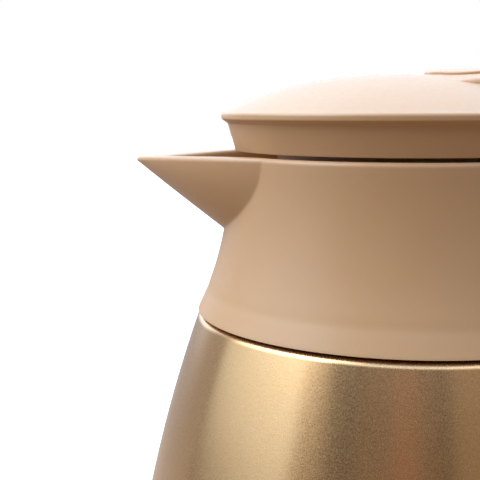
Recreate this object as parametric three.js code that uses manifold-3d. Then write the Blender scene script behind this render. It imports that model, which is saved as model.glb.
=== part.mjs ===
// A vacuum-insulated pouring carafe: a double-walled steel bottle with a pouring collar, a loop handle, and a
// lift-off stopper lid whose thumb lever opens a sprung valve. Millimetres, +Z up, with the origin on the
// bottle's axis at the underside of the base pad, the spout towards -X and the handle towards +X.
import * as THREE from 'three';
import { mergeVertices } from 'three/addons/utils/BufferGeometryUtils.js';
import Module from 'manifold-3d';

const wasm = await Module();
wasm.setup();

// ---- driving dimensions -----------------------------------------------------------------------------------
const STEPS = 32;               // facets round every large ring
const GAP = 0.4;                // clearance between neighbouring pieces
const RIM_Z = 208;              // height of the lid's rim
const DOME_TOP_Z = RIM_Z + 8.8;
const DOME_FLAT_R = 8.4;
const DOME_ARC_R = 82.8;
const LID_R = 45.9;
const LID_WALL = 2;
const LID_BOTTOM_Z = RIM_Z - 9.4;
const LID_BOTTOM_R = 42.5;

const COLLAR_TOP_Z = RIM_Z - 10;
const COLLAR_BOTTOM_Z = RIM_Z - 48.9;
const COLLAR_R = 44.1;          // straight part below the lip
const COLLAR_FLARE_Z = RIM_Z - 14;
const COLLAR_FLARE_R = 80;      // radius of the concave flare
const COLLAR_WALL = 2.2;
const WEB_Z = RIM_Z - 29;       // top of the collar's inner floor
const SLEEVE_R = 38.9;          // collar sleeve round the bottle's neck

const SPOUT_TIP = new THREE.Vector3(-69, 0, RIM_Z - 11);
const SPOUT_ROOT_Z = RIM_Z - 10;
const SPOUT_HALF_WIDTH = 0.815; // of the beak's section, per millimetre back from its tip
const SPOUT_DEPTH = 0.743;

const BODY_MAX_R = 73.3;        // widest radius of the steel body
const BODY_MAX_Z = RIM_Z - 174.6;
const BODY_ARC_R = 375;
const BODY_FOOT_ARC_R = 60;
const BODY_TOP_Z = RIM_Z - 49.5;
const BODY_FOOT_Z = 9;
const STEEL = 0.5;
const VACUUM = 7;               // from the outer shell's skin to the liner's
const LINER_FLOOR_Z = 20;
const MOUTH_Z = RIM_Z - 38.6;   // top of the bottle's mouth
const MOUTH_R = 34.6;
const NECK_R = 36.5;            // outside of the bottle's neck

const STOPPER_R = 32;
const STOPPER_WALL = 2;
const STOPPER_FLOOR_Z = RIM_Z - 50;
const WINDOW = { wide: 24, high: 12, z: RIM_Z - 18, angles: [0, 60, 120] };
const FLANGE_Z = RIM_Z - 7.2;   // top of the stopper's flange, inside the lid
const STEM_R = 2.5;
const STEM_TOP_Z = RIM_Z + 0.8;
const STEM_HEAD_R = 6;
const SPRING_SEAT_Z = RIM_Z - 16;
const SEAT_R = 20;              // valve port in the stopper's floor
const LIP_SEAL_LOW_Z = RIM_Z - 45;
const LIP_SEAL_HIGH_Z = RIM_Z - 41.4;
const STEM_SEAL_Z = RIM_Z - 27.6;
const THREAD_R = 35.2;
const NECK_RING_R = 35.8;

const PIVOT = new THREE.Vector3(-26, 0, RIM_Z + 1.2);
const PIN_R = 1.25;
const LEVER_ARM_HALF = 5;       // half width of the lever's hidden arm
const LEVER_FRONT_X = 3.8;
const LEVER_REAR_X = 57;
const LEVER_HALF = 18;
const LEVER_TOP_Z = RIM_Z + 10.3;
const LEVER_RISE = THREE.MathUtils.degToRad(4.9);
const TAIL_HALF = 24.4;         // half width of the lid's raised tail

const HANDLE_HALF = 11;
const HANDLE_BEVEL = 3.5;
const INNER_COVER = 5;          // thickness of the handle's inner cover

// ---- helpers ----------------------------------------------------------------------------------------------
function solidOf(geometry) {
  const bare = geometry.index ? geometry.toNonIndexed() : geometry.clone();
  for (const name of Object.keys(bare.attributes)) if (name !== 'position') bare.deleteAttribute(name);
  const merged = mergeVertices(bare, 1e-3);
  return new wasm.Manifold(new wasm.Mesh({
    numProp: 3,
    vertProperties: merged.attributes.position.array,
    triVerts: new Uint32Array(merged.index.array),
  }));
}

function geometryOf(solid) {
  const mesh = solid.getMesh();
  const geometry = new THREE.BufferGeometry();
  geometry.setAttribute('position', new THREE.BufferAttribute(mesh.vertProperties, 3));
  geometry.setIndex(new THREE.BufferAttribute(mesh.triVerts, 1));
  return geometry;
}

const join = (...solids) => solids.reduce((a, b) => a.add(b));
const cut = (solid, ...tools) => tools.reduce((a, b) => a.subtract(b), solid);

// A closed outline of [radius, height] points turned about Z: up the outside, then down the inside.
function turned(outline, steps = STEPS) {
  const points = outline.map(([r, z]) => new THREE.Vector2(r, z));
  if (outline[0][0] > 0 || outline.at(-1)[0] > 0) points.push(points[0].clone());
  return new THREE.LatheGeometry(points, steps).rotateX(Math.PI / 2);
}

const turnedSolid = (outline, steps) => solidOf(turned(outline, steps));
const disc = (radius, low, high, steps) =>
  turnedSolid([[0, low], [radius, low], [radius, high], [0, high]], steps);
const ring = (inner, outer, low, high, steps) =>
  turnedSolid([[outer, low], [outer, high], [inner, high], [inner, low]], steps);

// A box between two corners.
function block(low, high) {
  const size = high.map((v, i) => v - low[i]);
  return solidOf(new THREE.BoxGeometry(...size).translate(...low.map((v, i) => v + size[i] / 2)));
}

// Cylinders along X, Y and Z. The one along Y is centred on the XZ plane.
function rodX(radius, x0, x1, z, steps = 16) {
  return solidOf(new THREE.CylinderGeometry(radius, radius, x1 - x0, steps)
    .rotateZ(Math.PI / 2).translate((x0 + x1) / 2, 0, z));
}
function rodY(radius, half, x, z, steps = 16) {
  return solidOf(new THREE.CylinderGeometry(radius, radius, 2 * half, steps).translate(x, 0, z));
}
function rodZ(radius, z0, z1, x, y = 0, steps = 16) {
  return solidOf(new THREE.CylinderGeometry(radius, radius, z1 - z0, steps)
    .rotateX(Math.PI / 2).translate(x, y, (z0 + z1) / 2));
}

// Points along a function of height, both ends included.
const sampled = (z0, z1, count, radiusAt) =>
  Array.from({ length: count }, (_, i) => {
    const z = z0 + (z1 - z0) * i / (count - 1);
    return [radiusAt(z), z];
  });

// ---- profiles ---------------------------------------------------------------------------------------------
// How far an arc of radius r has turned away from its tangent after a distance d.
const sag = (r, d) => r - Math.sqrt(r * r - d * d);

const bodyRadius = (z) =>
  BODY_MAX_R - sag(z > BODY_MAX_Z ? BODY_ARC_R : BODY_FOOT_ARC_R, Math.abs(z - BODY_MAX_Z));
const collarRadius = (z) => COLLAR_R + sag(COLLAR_FLARE_R, Math.max(0, COLLAR_FLARE_Z - z));
const domeHeight = (r) => DOME_TOP_Z - sag(DOME_ARC_R, Math.max(0, r - DOME_FLAT_R));

// ---- steel bottle -----------------------------------------------------------------------------------------
function outerShell() {
  const outside = [
    ...sampled(BODY_FOOT_Z, BODY_MAX_Z, 3, bodyRadius),
    ...sampled(BODY_MAX_Z, BODY_TOP_Z, 8, bodyRadius).slice(1),
  ];
  const shoulder = [
    [49.5, BODY_TOP_Z + 0.2], [40, BODY_TOP_Z + 1.8], [NECK_R, BODY_TOP_Z + 4.5], [NECK_R, MOUTH_Z - 1.4],
  ];
  const inside = [
    [NECK_R - STEEL, MOUTH_Z - 1.4], [NECK_R - STEEL, BODY_TOP_Z + 4], [39.7, BODY_TOP_Z + 1],
    [49.2, BODY_TOP_Z - 0.6],
    ...sampled(BODY_TOP_Z - 2, BODY_MAX_Z, 7, (z) => bodyRadius(z) - STEEL),
    ...sampled(BODY_MAX_Z, BODY_FOOT_Z, 3, (z) => bodyRadius(z) - STEEL).slice(1),
  ];
  return turned([...outside, ...shoulder, ...inside]);
}

function innerLiner() {
  const skin = (z) => bodyRadius(z) - VACUUM;
  const corner = 20;
  const cornerTop = LINER_FLOOR_Z + corner;
  const wall = (thickness) => [
    ...[0, 0.4, 0.75, 1].map((t) => [
      skin(cornerTop) - corner + (corner - thickness) * Math.sin(t * Math.PI / 2),
      cornerTop - (corner - thickness) * Math.cos(t * Math.PI / 2),
    ]),
    ...sampled(cornerTop + 14, RIM_Z - 76, 5, (z) => skin(z) - thickness),
    [48.6 - thickness, RIM_Z - 66], [44 - thickness, RIM_Z - 60.4 - thickness / 2],
    [38.5 - thickness, RIM_Z - 57 - thickness / 2], [MOUTH_R + STEEL - thickness, RIM_Z - 52],
  ];
  return turned([
    [0, LINER_FLOOR_Z], ...wall(0), [MOUTH_R + STEEL, MOUTH_Z - 1], [NECK_R + 0.2, MOUTH_Z - 1],
    [NECK_R + 0.2, MOUTH_Z], [MOUTH_R, MOUTH_Z], ...wall(STEEL).reverse(), [0, LINER_FLOOR_Z + STEEL],
  ]);
}

function shellBottom() {
  const r = bodyRadius(BODY_FOOT_Z) - STEEL - GAP;
  return turned([
    [0, 11], [58, 11], [r - 4, BODY_FOOT_Z], [r, BODY_FOOT_Z], [r - 3.4, 10.4], [59, 12], [0, 12],
  ]);
}

const getter = () => turned([[0, 14.6], [7, 14.6], [7, 16.6], [0, 16.6]], 20);
const vacuumSeal = () => turned([[0, 8.6], [4.5, 8.6], [3.5, 10.6], [0, 10.6]], 16);

// ---- base -------------------------------------------------------------------------------------------------
function baseCup() {
  const top = BODY_FOOT_Z - 0.6;
  return turned([
    [0, 3.2], [58.6, 3.2], [58.6, 0.9], [64.2, 0.9], [66.2, 3], ...sampled(5, top, 2, (z) => bodyRadius(z)),
    [bodyRadius(top) - 2.4, top], [63.5, 5.4], [0, 5.4],
  ]);
}

const basePad = () => turned([[0, 0], [57.4, 0], [58.2, 0.8], [58.2, 2.8], [0, 2.8]]);

// ---- collar and spout -------------------------------------------------------------------------------------
// The beak is a cone along the pouring lip with a rounded, almost square section, open at the top.
function beak(tipX, shrink) {
  const length = 44;
  const squareness = 3;
  const cone = new THREE.ConeGeometry(1, length, 32).translate(0, -length / 2, 0).rotateZ(Math.PI / 2);
  const position = cone.attributes.position;
  for (let i = 0; i < position.count; i++) {
    const [x, y, z] = [position.getX(i), position.getY(i), position.getZ(i)];
    const round = Math.hypot(y, z);
    if (round < 1e-6) continue;
    const reach = (Math.abs(y) ** squareness + Math.abs(z) ** squareness) ** (-1 / squareness) * round * length;
    position.setXYZ(i, x, y * reach * SPOUT_HALF_WIDTH, z * reach * (SPOUT_DEPTH - shrink));
  }
  const tilt = Math.atan2(SPOUT_ROOT_Z - SPOUT_TIP.z, -COLLAR_R - SPOUT_TIP.x);
  cone.rotateY(-tilt).translate(tipX, 0, SPOUT_TIP.z);
  return solidOf(cone);
}

function collar() {
  const wallInside = (z) => collarRadius(z) - COLLAR_WALL;
  const flare = sampled(COLLAR_BOTTOM_Z, COLLAR_FLARE_Z, 7, collarRadius);
  const body = turnedSolid([
    ...flare, [COLLAR_R, COLLAR_TOP_Z - 0.7], [COLLAR_R - 0.7, COLLAR_TOP_Z],
    [COLLAR_R - COLLAR_WALL, COLLAR_TOP_Z],
    ...sampled(COLLAR_FLARE_Z, WEB_Z, 3, wallInside), [SLEEVE_R, WEB_Z], [SLEEVE_R, RIM_Z - 44.4],
    [SLEEVE_R + 2, RIM_Z - 44.4], [SLEEVE_R + 2, WEB_Z - 2.2],
    ...sampled(WEB_Z - 2.2, COLLAR_BOTTOM_Z, 4, wallInside),
  ]);
  const lipTilt = Math.atan2(SPOUT_ROOT_Z - SPOUT_TIP.z, -COLLAR_R - SPOUT_TIP.x);
  const aboveLip = solidOf(new THREE.BoxGeometry(120, 90, 40).translate(30, 0, 20).rotateY(-lipTilt)
    .translate(SPOUT_TIP.x, 0, SPOUT_TIP.z));
  const outside = cut(beak(SPOUT_TIP.x, 0), aboveLip, disc(COLLAR_R - 1.2, 0, RIM_Z + 40));
  const hollow = cut(beak(SPOUT_TIP.x + 3.2, 0.02), disc(COLLAR_R - COLLAR_WALL - 0.7, 0, RIM_Z + 40));
  const handleLug = block([COLLAR_R - 0.6, -7, RIM_Z - 30], [50, 7, RIM_Z - 15.5]);
  const lugHoles = SCREW_HEIGHTS.map((z) => rodX(1.9, 46, 51, z));
  return geometryOf(cut(join(body, outside, handleLug), hollow, ...lugHoles));
}

function neckRing() {
  return turned([
    [NECK_R + 2, RIM_Z - 44], [NECK_R + 2, WEB_Z + 0.3], [41, WEB_Z + 0.3], [41, WEB_Z + 2.3],
    [NECK_RING_R, WEB_Z + 2.3], [NECK_RING_R, MOUTH_Z + 1.6], [NECK_R + 0.5, MOUTH_Z + 1.6],
    [NECK_R + 0.5, RIM_Z - 44],
  ]);
}

const neckGasket = () => turned([
  [NECK_R + 0.2, MOUTH_Z + 0.3], [NECK_R + 0.2, MOUTH_Z + 1.3], [MOUTH_R + 0.4, MOUTH_Z + 1.3],
  [MOUTH_R + 0.4, MOUTH_Z + 0.3],
]);

// ---- handle -----------------------------------------------------------------------------------------------
const SCREW_HEIGHTS = [RIM_Z - 18.9, RIM_Z - 25.1];
const LOWER_SCREW = { x: 80, tab: RIM_Z - 142 };

// The handle's side view. grow moves the finger side outwards, and trim moves the palm side inwards.
function handleOutline(grow, trim) {
  const z = (below) => RIM_Z - below;
  const outline = new THREE.Shape();
  outline.moveTo(38, z(12.5 + trim));
  outline.lineTo(76, z(12.5 + trim));
  outline.bezierCurveTo(98 - trim, z(12.5 + trim), 109 - trim, z(28), 109 - trim, z(52));
  outline.lineTo(107 - trim, z(100));
  outline.bezierCurveTo(105.5 - trim, z(130), 92, z(149.5 - trim), 66, z(149.5 - trim));
  outline.lineTo(66, z(135 + grow));
  outline.bezierCurveTo(84, z(135 + grow), 92 + grow, z(120), 93 + grow, z(98));
  outline.lineTo(94 + grow, z(62));
  outline.bezierCurveTo(94 + grow, z(44), 86, z(33 - grow), 72, z(33 - grow));
  outline.lineTo(38, z(36 - grow));
  return outline;
}

function handleSolid(grow, trim, half, bevel) {
  const geometry = new THREE.ExtrudeGeometry(handleOutline(grow, trim), {
    depth: 2 * (half - bevel),
    bevelEnabled: bevel > 0,
    bevelThickness: bevel,
    bevelSize: bevel,
    bevelOffset: -bevel,
    bevelSegments: 2,
    curveSegments: 7,
  });
  return solidOf(geometry.translate(0, 0, bevel - half).rotateX(Math.PI / 2));
}

// What the handle's two halves leave room for: the pot, the collar's lug, the bracket and the screws.
function handleRoom() {
  const pot = turnedSolid([
    [0, 30], ...sampled(30, BODY_TOP_Z, 8, (z) => bodyRadius(z) + GAP),
    ...sampled(COLLAR_BOTTOM_Z, COLLAR_FLARE_Z, 7, (z) => collarRadius(z) + GAP).slice(1),
    [COLLAR_R + GAP, RIM_Z], [0, RIM_Z],
  ]);
  const { x, tab } = LOWER_SCREW;
  return [
    pot,
    block([40, -7.4, RIM_Z - 30.4], [50.4, 7.4, RIM_Z - 15.1]),
    block([60, -8.4, tab - 4.4], [74.4, 8.4, tab + 4.4]),
    block([74, -5.4, tab - 1.6], [85, 5.4, tab + 1.6]),
    rodZ(1.9, tab - 5, tab + 5.4, x),
    rodZ(3.8, tab - 12, tab - 2.8, x),
    ...SCREW_HEIGHTS.map((z) => rodX(1.9, 50, 55, z)),
  ];
}

function handleOuter() {
  const whole = handleSolid(0, 0, HANDLE_HALF, HANDLE_BEVEL);
  const innerSide = cut(
    block([30, -20, RIM_Z - 170], [120, 20, RIM_Z]),
    handleSolid(INNER_COVER + 0.3, -20, 20, 0),
  );
  const channel = cut(
    handleSolid(INNER_COVER - 1, 3.2, HANDLE_HALF - 3.2, 0),
    block([0, -20, 0], [54, 20, RIM_Z]),
    block([0, -20, 0], [88, 20, RIM_Z - 126]),
  );
  return geometryOf(cut(whole, innerSide, channel, ...handleRoom()));
}

function handleInner() {
  const whole = handleSolid(0, 0, HANDLE_HALF, HANDLE_BEVEL);
  return geometryOf(cut(whole, handleSolid(INNER_COVER, -20, 20, 0), ...handleRoom()));
}

function handleBracket() {
  const { x, tab } = LOWER_SCREW;
  const foot = block([bodyRadius(tab) + 0.4, -8, tab - 4], [bodyRadius(tab) + 1.9, 8, tab + 4]);
  const tongue = block([bodyRadius(tab) + 1, -5, tab - 1.2], [84.4, 5, tab + 1.2]);
  const pot = turnedSolid([
    [0, tab - 9], ...sampled(tab - 9, tab + 9, 3, (z) => bodyRadius(z) + 0.35), [0, tab + 9],
  ]);
  return geometryOf(cut(join(foot, tongue), pot, rodZ(1.9, tab - 3, tab + 3, x)));
}

// Screws are turned about their own axis: a cheese head at the origin with its shank going up.
const screw = (headR, headHigh, shankR, length) => turned([
  [0, 0], [headR - 0.5, 0], [headR, 0.5], [headR, headHigh], [shankR, headHigh], [shankR, length - 0.8],
  [shankR * 0.5, length], [0, length],
], 12);

// ---- lid --------------------------------------------------------------------------------------------------
// The plan outline of the lever's plate, and of the well that it sits in when it is grown.
function leverPlan(grow) {
  const [front, rear, half] = [LEVER_FRONT_X - grow, LEVER_REAR_X + grow, LEVER_HALF + grow];
  const frontR = 20;
  const rearR = 15;
  const plan = new THREE.Shape();
  plan.moveTo(front, 0);
  plan.bezierCurveTo(front, -frontR * 0.62, LEVER_FRONT_X + 4, -half, LEVER_FRONT_X + frontR, -half);
  plan.lineTo(LEVER_REAR_X - rearR, -half);
  plan.bezierCurveTo(LEVER_REAR_X - 3, -half, rear, -rearR * 0.8, rear, 0);
  plan.bezierCurveTo(rear, rearR * 0.8, LEVER_REAR_X - 3, half, LEVER_REAR_X - rearR, half);
  plan.lineTo(LEVER_FRONT_X + frontR, half);
  plan.bezierCurveTo(LEVER_FRONT_X + 4, half, front, frontR * 0.62, front, 0);
  return plan;
}

const BOSS_R = 36;
const BOSS_ANGLES = { front: 180, left: 74, right: -74 };
const bossAt = (degrees) => {
  const angle = THREE.MathUtils.degToRad(degrees);
  return [BOSS_R * Math.cos(angle), BOSS_R * Math.sin(angle)];
};

function lidCover() {
  const domeRadii = [LID_R - 0.7, 38, 30, 21, DOME_FLAT_R];
  const dome = turnedSolid([
    [LID_BOTTOM_R, LID_BOTTOM_Z], [44.1, RIM_Z - 3.8], [44.7, RIM_Z - 2.6], [LID_R, RIM_Z - 1.3],
    [LID_R, RIM_Z - 0.2],
    ...domeRadii.map((r) => [r, domeHeight(r)]), [0, DOME_TOP_Z], [0, DOME_TOP_Z - LID_WALL],
    ...domeRadii.slice(1).reverse().map((r) => [r, domeHeight(r) - LID_WALL]), [42.6, RIM_Z - 1.8],
    [42.1, RIM_Z - 3.8],
    [LID_BOTTOM_R - LID_WALL, LID_BOTTOM_Z],
  ]);
  // The tail: a ridge with sloping shoulders that rises towards the handle.
  const section = new THREE.Shape();
  section.moveTo(-TAIL_HALF, -9);
  section.lineTo(TAIL_HALF, -9);
  section.lineTo(TAIL_HALF, -1.5);
  section.lineTo(LEVER_HALF + 0.5, 0);
  section.lineTo(-LEVER_HALF - 0.5, 0);
  section.lineTo(-TAIL_HALF, -1.5);
  const ridge = solidOf(new THREE.ExtrudeGeometry(section, { depth: 56, bevelEnabled: false, steps: 1 })
    .rotateX(Math.PI / 2).rotateZ(Math.PI / 2).rotateY(-LEVER_RISE).translate(-4, 0, RIM_Z + 7.25));
  const lidColumn = disc(LID_R - 0.5, RIM_Z - 1, RIM_Z + 20);
  const underDome = turnedSolid([
    [0, RIM_Z - 9], [41, RIM_Z - 9], [42, RIM_Z - 2.4],
    ...domeRadii.slice(1).map((r) => [r, domeHeight(r) - LID_WALL]), [0, DOME_TOP_Z - LID_WALL],
  ]);
  const tail = cut(ridge.intersect(lidColumn), underDome);
  const well = cut(
    solidOf(new THREE.ExtrudeGeometry(leverPlan(0.5), { depth: 30, bevelEnabled: false, curveSegments: 8 })
      .translate(0, 0, RIM_Z - 8)),
    cut(disc(60, RIM_Z - 9, RIM_Z + 0.4), disc(43.2, RIM_Z - 10, RIM_Z + 2)),
  );
  const bosses = Object.values(BOSS_ANGLES).map((a) => {
    const [x, y] = bossAt(a);
    return cut(rodZ(3.2, FLANGE_Z + 0.3, RIM_Z + 2.2, x, y), rodZ(1.8, FLANGE_Z, RIM_Z - 0.2, x, y));
  });
  return geometryOf(cut(join(dome, tail, ...bosses), well));
}

// The screw plate that closes the lid from below, with the stem's guide and the ears that hold the lever's pin.
function lidBase() {
  const low = FLANGE_Z - 2;
  const outerR = LID_BOTTOM_R - LID_WALL - GAP;
  const guideR = 8.8;
  const spigotR = STOPPER_R - STOPPER_WALL - GAP;
  const plate = turnedSolid([
    [guideR, SPRING_SEAT_Z - 2], [guideR, low], [spigotR - 1.4, low], [spigotR - 1.4, low - 2.4],
    [spigotR, low - 2.4], [spigotR, low], [outerR, low], [outerR, FLANGE_Z], [6.8, FLANGE_Z],
    [6.8, SPRING_SEAT_Z], [STEM_R + GAP, SPRING_SEAT_Z], [STEM_R + GAP, STEM_SEAL_Z + 1], [4.8, STEM_SEAL_Z + 1],
    [4.8, STEM_SEAL_Z - 2.4], [6.4, STEM_SEAL_Z - 2.4], [6.4, SPRING_SEAT_Z - 2],
  ]);
  const earWide = 3;
  const ears = [-1, 1].map((side) => {
    const near = side * (LEVER_ARM_HALF + GAP);
    const far = side * (LEVER_ARM_HALF + GAP + earWide);
    return block(
      [PIVOT.x - 3.2, Math.min(near, far), FLANGE_Z - 1],
      [PIVOT.x + 3.2, Math.max(near, far), PIVOT.z + 2.4],
    );
  });
  const holes = Object.values(BOSS_ANGLES).flatMap((a) => {
    const [x, y] = bossAt(a);
    return [rodZ(1.8, low - 1, FLANGE_Z + 1, x, y), rodZ(3, low - 1, FLANGE_Z - 0.8, x, y)];
  });
  return geometryOf(cut(join(plate, ...ears), rodY(PIN_R + 0.3, 12, PIVOT.x, PIVOT.z), ...holes));
}

// The stopper's tube: a seat for the valve in its floor, a groove for its lip seal, a thread band, and windows.
function stopperTube() {
  const top = FLANGE_Z - 2 - 0.3;
  const floorTop = STOPPER_FLOOR_Z + STOPPER_WALL;
  const bandR = STOPPER_R + 1.4;
  const grooveR = STOPPER_R - 0.6;
  const tube = turnedSolid([
    [SEAT_R, STOPPER_FLOOR_Z], [bandR, STOPPER_FLOOR_Z], [bandR, LIP_SEAL_LOW_Z - 0.4],
    [grooveR, LIP_SEAL_LOW_Z - 0.4], [grooveR, LIP_SEAL_HIGH_Z + 0.4], [bandR, LIP_SEAL_HIGH_Z + 0.4],
    [bandR, RIM_Z - 39.6], [STOPPER_R, RIM_Z - 39.6], [STOPPER_R, RIM_Z - 34], [THREAD_R, RIM_Z - 33],
    [THREAD_R, RIM_Z - 29.4], [STOPPER_R, RIM_Z - 28.4], [STOPPER_R, top], [STOPPER_R - STOPPER_WALL, top],
    [STOPPER_R - STOPPER_WALL, floorTop], [SEAT_R, floorTop],
  ]);
  const { wide, high, z, angles } = WINDOW;
  const windows = angles.map((degrees) => solidOf(
    new THREE.BoxGeometry(80, wide, high).translate(0, 0, z).rotateZ(THREE.MathUtils.degToRad(degrees))));
  return geometryOf(cut(tube, ...windows));
}

function lever() {
  const bevel = 0.8;
  const thick = 3;
  const plate = solidOf(new THREE.ExtrudeGeometry(leverPlan(-bevel), {
    depth: thick - 2 * bevel,
    bevelEnabled: true,
    bevelThickness: bevel,
    bevelSize: bevel,
    bevelSegments: 2,
    curveSegments: 8,
  }).translate(-12, 0, bevel - thick).rotateY(-LEVER_RISE).translate(12, 0, LEVER_TOP_Z));
  const armLow = STEM_TOP_Z + 0.3;
  const arm = block([PIVOT.x, -LEVER_ARM_HALF, armLow], [14, LEVER_ARM_HALF, armLow + 3]);
  const web = block([5.5, -LEVER_ARM_HALF, armLow], [14, LEVER_ARM_HALF, RIM_Z + 8]);
  const hub = rodY(2.9, LEVER_ARM_HALF, PIVOT.x, PIVOT.z);
  return geometryOf(cut(join(plate, arm, web, hub), rodY(PIN_R + 0.3, 12, PIVOT.x, PIVOT.z)));
}

class Coil extends THREE.Curve {
  constructor(radius, low, high, turns) {
    super();
    Object.assign(this, { radius, low, high, turns });
  }
  getPoint(t) {
    const angle = 2 * Math.PI * this.turns * t;
    return new THREE.Vector3(
      this.radius * Math.cos(angle), this.radius * Math.sin(angle), this.low + (this.high - this.low) * t);
  }
}

function valveSpring() {
  const wire = new THREE.Shape(Array.from({ length: 6 }, (_, i) =>
    new THREE.Vector2(0.45 * Math.cos(i * Math.PI / 3), 0.45 * Math.sin(i * Math.PI / 3))));
  const path = new Coil(4.6, SPRING_SEAT_Z + 0.8, STEM_TOP_Z - 2.4, 4);
  return new THREE.ExtrudeGeometry(wire, { extrudePath: path, steps: 48, bevelEnabled: false });
}

// The stem's head holds the spring down, and the lever's arm presses on the small button on top of it.
const valveStem = () => turned([
  [0, RIM_Z - 56.4], [STEM_R - 0.6, RIM_Z - 56.4], [STEM_R - 0.6, RIM_Z - 54.6], [STEM_R, RIM_Z - 54.4],
  [STEM_R, STEM_TOP_Z - 1.8], [STEM_HEAD_R, STEM_TOP_Z - 1.8], [STEM_HEAD_R, STEM_TOP_Z - 0.9],
  [2.4, STEM_TOP_Z - 0.9], [1.6, STEM_TOP_Z], [0, STEM_TOP_Z],
], 20);

const valveDisc = () => turned([
  [STEM_R + 0.3, RIM_Z - 54], [23.4, RIM_Z - 54], [23.4, RIM_Z - 52.2], [18.6, RIM_Z - 52.2],
  [17.6, RIM_Z - 49], [8, RIM_Z - 49], [6, RIM_Z - 46], [STEM_R + 0.3, RIM_Z - 46],
]);

const valveGasket = () => turned([
  [22.9, RIM_Z - 51.9], [22.9, STOPPER_FLOOR_Z - 0.3], [20.6, STOPPER_FLOOR_Z - 0.3], [19, RIM_Z - 51],
  [19, RIM_Z - 51.9],
]);

const stemClip = () => turned([
  [4.4, RIM_Z - 55.4], [4.4, RIM_Z - 54.3], [2.2, RIM_Z - 54.6], [2.2, RIM_Z - 55.4],
], 20);

const stemSeal = () => turned([
  [4.4, STEM_SEAL_Z - 1.4], [4.4, STEM_SEAL_Z + 0.2], [2.8, STEM_SEAL_Z + 0.2], [2.8, STEM_SEAL_Z - 1.4],
], 20);

const stopperGasket = () => turned([
  [STOPPER_R + 1.2, LIP_SEAL_LOW_Z], [MOUTH_R - 0.4, LIP_SEAL_LOW_Z + 0.8],
  [STOPPER_R + 1.6, LIP_SEAL_LOW_Z + 1.8], [MOUTH_R - 0.4, LIP_SEAL_HIGH_Z - 0.8],
  [STOPPER_R + 1.2, LIP_SEAL_HIGH_Z], [STOPPER_R - 0.2, LIP_SEAL_HIGH_Z], [STOPPER_R - 0.2, LIP_SEAL_LOW_Z],
]);

// ---- materials --------------------------------------------------------------------------------------------
const material = (color, roughness, metalness = 0) =>
  new THREE.MeshStandardMaterial({ color, roughness, metalness });
const BRONZE_STEEL = material(0xa98a62, 0.38, 1);
const BARE_STEEL = material(0xc9c9c6, 0.25, 1);
const BEIGE_PLASTIC = material(0xd2b091, 0.45);
const INNER_PLASTIC = material(0xc3a587, 0.5);
const SILICONE = material(0xe6dfd3, 0.7);
const RUBBER = material(0x4a4038, 0.85);
const GETTER = material(0x6d6d6d, 0.7, 1);

// ---- assembly ---------------------------------------------------------------------------------------------
const carafe = new THREE.Group();
carafe.name = 'carafe';

function add(name, geometry, look, place = [0, 0, 0], turn = [0, 0, 0]) {
  const mesh = new THREE.Mesh(geometry, look);
  mesh.name = name;
  mesh.position.set(...place);
  mesh.rotation.set(...turn);
  carafe.add(mesh);
}

add('outer_shell', outerShell(), BRONZE_STEEL);
add('inner_liner', innerLiner(), BARE_STEEL);
add('shell_bottom', shellBottom(), BARE_STEEL);
add('getter', getter(), GETTER);
add('vacuum_seal', vacuumSeal(), BARE_STEEL);
add('base_cup', baseCup(), BEIGE_PLASTIC);
add('base_pad', basePad(), RUBBER);
add('collar', collar(), BEIGE_PLASTIC);
add('neck_ring', neckRing(), INNER_PLASTIC);
add('neck_gasket', neckGasket(), SILICONE);
add('handle_outer', handleOuter(), BEIGE_PLASTIC);
add('handle_inner', handleInner(), BEIGE_PLASTIC);
add('handle_bracket', handleBracket(), BARE_STEEL);
['handle_screw_top', 'handle_screw_middle'].forEach((name, i) =>
  add(name, screw(2.8, 2, 1.6, 9.6), BARE_STEEL, [56.4, 0, SCREW_HEIGHTS[i]], [0, -Math.PI / 2, 0]));
add('handle_screw_lower', screw(3.2, 2, 1.6, 9.4), BARE_STEEL, [LOWER_SCREW.x, 0, LOWER_SCREW.tab - 5.1]);
add('handle_screw_cap', turned([[0, 0], [3.4, 0], [3.4, 1.2], [0, 1.2]], 20), BEIGE_PLASTIC,
  [LOWER_SCREW.x, 0, LOWER_SCREW.tab - 6.6]);
add('lid_cover', lidCover(), BEIGE_PLASTIC);
add('lid_base', lidBase(), INNER_PLASTIC);
add('stopper_tube', stopperTube(), INNER_PLASTIC);
for (const [side, angle] of Object.entries(BOSS_ANGLES)) {
  add(`lid_screw_${side}`, screw(2.6, 1, 1.4, 8), BARE_STEEL, [...bossAt(angle), FLANGE_Z - 2.1]);
}
add('lever', lever(), BEIGE_PLASTIC);
add('lever_pin', turned([[0, -8], [PIN_R, -8], [PIN_R, 8], [0, 8]], 16), BARE_STEEL,
  PIVOT.toArray(), [Math.PI / 2, 0, 0]);
add('valve_spring', valveSpring(), BARE_STEEL);
add('valve_stem', valveStem(), INNER_PLASTIC);
add('valve_disc', valveDisc(), INNER_PLASTIC);
add('valve_gasket', valveGasket(), SILICONE);
add('stem_clip', stemClip(), BARE_STEEL);
add('stem_seal', stemSeal(), SILICONE);
add('stopper_gasket', stopperGasket(), SILICONE);

export default carafe;
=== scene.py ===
import math

import bmesh
import bpy
import numpy as np
from mathutils import Matrix, Vector


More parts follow.
